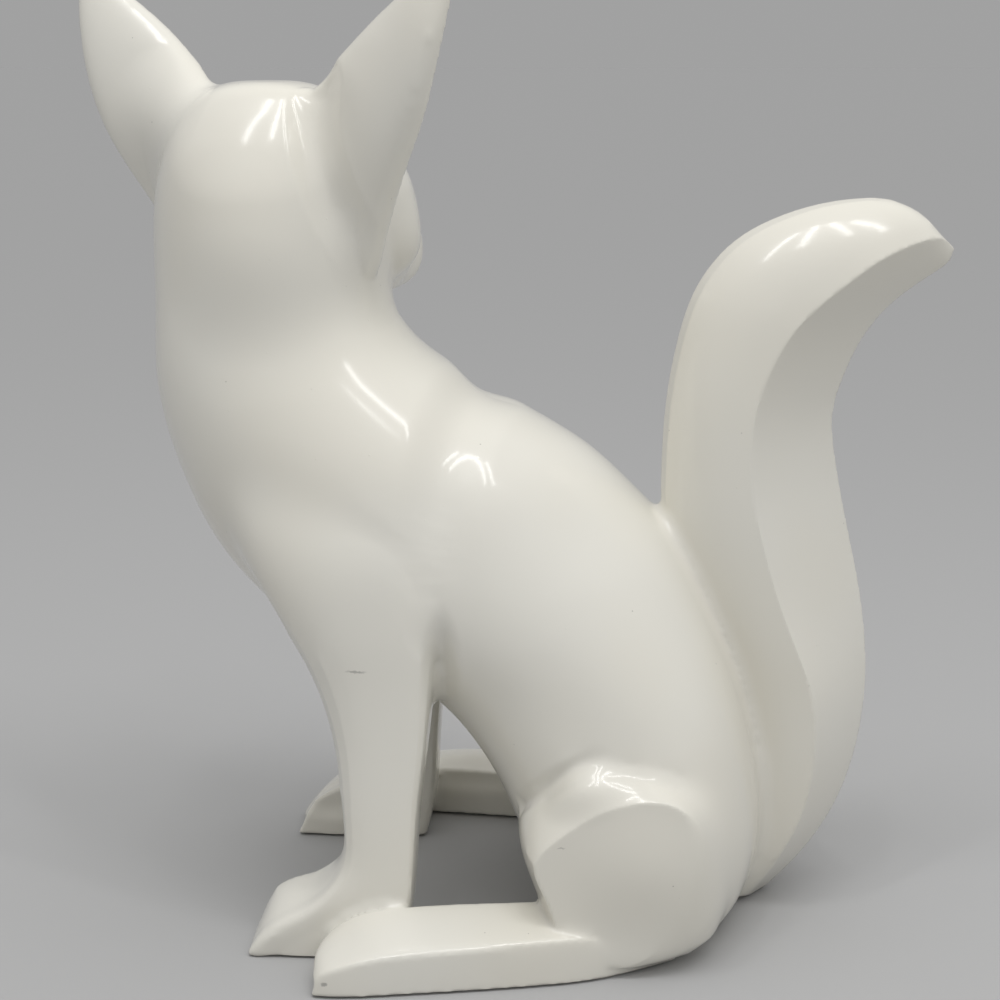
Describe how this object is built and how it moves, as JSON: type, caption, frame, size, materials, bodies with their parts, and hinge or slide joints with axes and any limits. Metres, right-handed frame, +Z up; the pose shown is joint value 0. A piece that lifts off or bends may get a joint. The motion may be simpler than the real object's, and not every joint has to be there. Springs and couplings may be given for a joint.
{
  "type": "seated fox figurine",
  "caption": "Seated fox ornament in gloss white resin, head turned back over its shoulder, brush tail swept up and out; castings bonded into sockets on steel dowels, standing on thin felt pads.",
  "frame": {"origin": "middle of the bounding box, on the floor under the pads", "axes": "+Z up; the body faces -X; the animal's own left side is -Y; the tail is at +X"},
  "size_m": [0.2948, 0.1842, 0.3201],
  "materials": {
    "lacquer_white": "gloss white lacquer over cast resin",
    "dowel_steel": "cut bar",
    "plug_resin": "bare cast resin",
    "pad_felt": "pressed felt"
  },
  "bodies": {
    "root": {"torso": "lacquer_white", "head": "lacquer_white", "left_ear": "lacquer_white", "right_ear": "lacquer_white", "left_foreleg": "lacquer_white", "right_foreleg": "lacquer_white", "left_hind_leg": "lacquer_white", "right_hind_leg": "lacquer_white", "tail": "lacquer_white", "neck_dowel": "dowel_steel", "left_ear_pin": "dowel_steel", "right_ear_pin": "dowel_steel", "left_foreleg_dowel": "dowel_steel", "right_foreleg_dowel": "dowel_steel", "left_hind_front_dowel": "dowel_steel", "left_hind_rear_dowel": "dowel_steel", "right_hind_front_dowel": "dowel_steel", "right_hind_rear_dowel": "dowel_steel", "tail_lower_dowel": "dowel_steel", "tail_upper_dowel": "dowel_steel", "seat_plug": "plug_resin", "left_fore_pad": "pad_felt", "right_fore_pad": "pad_felt", "left_hind_pad": "pad_felt", "right_hind_pad": "pad_felt", "left_heel_pad": "pad_felt", "right_heel_pad": "pad_felt"}
  },
  "joints": []
}
